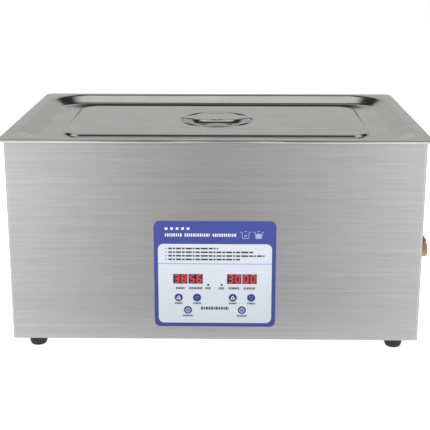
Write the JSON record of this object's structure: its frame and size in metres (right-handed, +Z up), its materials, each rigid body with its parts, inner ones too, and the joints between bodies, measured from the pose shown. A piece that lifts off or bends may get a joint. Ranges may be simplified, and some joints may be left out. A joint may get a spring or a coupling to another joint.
{
  "type": "ultrasonic cleaner",
  "caption": "Bench-top ultrasonic cleaning bath: steel housing with a lift-off lid, deep tank, digital control panel and a side drain valve.",
  "frame": {"origin": "centre of the four feet's pattern, on the surface that they stand on, midway across the housing", "axes": "+X to the right as seen from the control panel, +Y from the panel to the back, +Z up"},
  "size_m": [0.5725, 0.325, 0.281],
  "materials": {
    "brushed_steel": "brushed",
    "polished_steel": "polished",
    "zinc_steel": "zinc plated",
    "brass": "turned",
    "rubber": "matte",
    "panel_print": "satin film",
    "button_blue": "satin",
    "display": "gloss",
    "black_plastic": "moulded",
    "red_plastic": "dipped vinyl",
    "circuit_board": "solder mask",
    "ceramic": "fired",
    "aluminium": "turned",
    "heater_mat": "silicone",
    "coil": "varnished",
    "wire": "extruded"
  },
  "bodies": {
    "root": {"housing": "brushed_steel", "base_plate": "zinc_steel", "base_screws": "zinc_steel", "feet": "rubber", "foot_screws": "zinc_steel", "tank": "polished_steel", "panel_plate": "panel_print", "display_set_temp": "display", "display_now_temp": "display", "display_minutes": "display", "display_seconds": "display", "indicator_lamps": "black_plastic", "control_board": "circuit_board", "tact_switches": "black_plastic", "control_spacers": "brass", "control_screws": "zinc_steel", "transducer_fronts": "aluminium", "transducer_ceramics": "ceramic", "transducer_backs": "zinc_steel", "transducer_bolts": "zinc_steel", "generator_board": "circuit_board", "generator_spacers": "brass", "transformer": "coil", "heatsink": "aluminium", "power_transistors": "black_plastic", "capacitors": "button_blue", "heater_pads": "heater_mat", "temp_sensor": "aluminium", "drain_strainer": "polished_steel", "drain_fitting": "polished_steel", "drain_gasket": "rubber", "drain_elbow": "brass", "drain_pipe": "brass", "wall_nut": "brass", "valve_body": "brass", "mains_inlet": "black_plastic", "switch_bezel": "black_plastic", "fan_frame": "black_plastic", "fan_guard": "zinc_steel", "fan_screws": "zinc_steel", "handle_brackets": "polished_steel", "wiring_loom": "wire"},
    "lid": {"lid": "polished_steel", "lid_handle": "polished_steel"},
    "valve_handle": {"valve_ball": "polished_steel", "valve_stem": "zinc_steel", "valve_lever": "zinc_steel", "lever_sleeve": "red_plastic", "lever_nut": "zinc_steel"},
    "fuse_drawer": {"fuse_drawer": "black_plastic"},
    "switch_rocker": {"switch_rocker": "red_plastic"},
    "fan_rotor": {"fan_rotor": "black_plastic"},
    "handle_left": {"handle_left": "polished_steel"},
    "handle_right": {"handle_right": "polished_steel"},
    "button_temp_up": {"button_temp_up": "button_blue"},
    "button_temp_down": {"button_temp_down": "button_blue"},
    "button_time_up": {"button_time_up": "button_blue"},
    "button_time_down": {"button_time_down": "button_blue"},
    "button_heat": {"button_heat": "button_blue"},
    "button_sonic": {"button_sonic": "button_blue"}
  },
  "joints": [
    {"name": "lid_lift", "type": "slide", "parent": "root", "child": "lid", "axis": [0, 0, 1], "range_m": [0, 0.12]},
    {"name": "valve_turn", "type": "hinge", "parent": "root", "child": "valve_handle", "pos_m": [0.2778, 0, 0.088], "axis": [0, 0, 1], "range_deg": [0, 90]},
    {"name": "fuse_slide", "type": "slide", "parent": "root", "child": "fuse_drawer", "axis": [0, 1, 0], "range_m": [0, 0.014]},
    {"name": "switch_tilt", "type": "hinge", "parent": "root", "child": "switch_rocker", "pos_m": [-0.118, 0.155, 0.082], "axis": [-1, 0, 0], "range_deg": [0, 20]},
    {"name": "fan_spin", "type": "hinge", "parent": "root", "child": "fan_rotor", "pos_m": [0.15, 0.144, 0.082], "axis": [0, 1, 0], "continuous": true},
    {"name": "handle_left_swing", "type": "hinge", "parent": "root", "child": "handle_left", "pos_m": [-0.2685, 0, 0.205], "axis": [0, 1, 0], "range_deg": [0, 90]},
    {"name": "handle_right_swing", "type": "hinge", "parent": "root", "child": "handle_right", "pos_m": [0.2685, 0, 0.205], "axis": [0, -1, 0], "range_deg": [0, 90]},
    {"name": "button_temp_up_press", "type": "slide", "parent": "root", "child": "button_temp_up", "axis": [0, 1, 0], "range_m": [0, 0.0005], "stiffness_N_per_m": 1500, "springref_m": -0.0003},
    {"name": "button_temp_down_press", "type": "slide", "parent": "root", "child": "button_temp_down", "axis": [0, 1, 0], "range_m": [0, 0.0005], "stiffness_N_per_m": 1500, "springref_m": -0.0003},
    {"name": "button_time_up_press", "type": "slide", "parent": "root", "child": "button_time_up", "axis": [0, 1, 0], "range_m": [0, 0.0005], "stiffness_N_per_m": 1500, "springref_m": -0.0003},
    {"name": "button_time_down_press", "type": "slide", "parent": "root", "child": "button_time_down", "axis": [0, 1, 0], "range_m": [0, 0.0005], "stiffness_N_per_m": 1500, "springref_m": -0.0003},
    {"name": "button_heat_press", "type": "slide", "parent": "root", "child": "button_heat", "axis": [0, 1, 0], "range_m": [0, 0.0005], "stiffness_N_per_m": 1500, "springref_m": -0.0003},
    {"name": "button_sonic_press", "type": "slide", "parent": "root", "child": "button_sonic", "axis": [0, 1, 0], "range_m": [0, 0.0005], "stiffness_N_per_m": 1500, "springref_m": -0.0003}
  ]
}
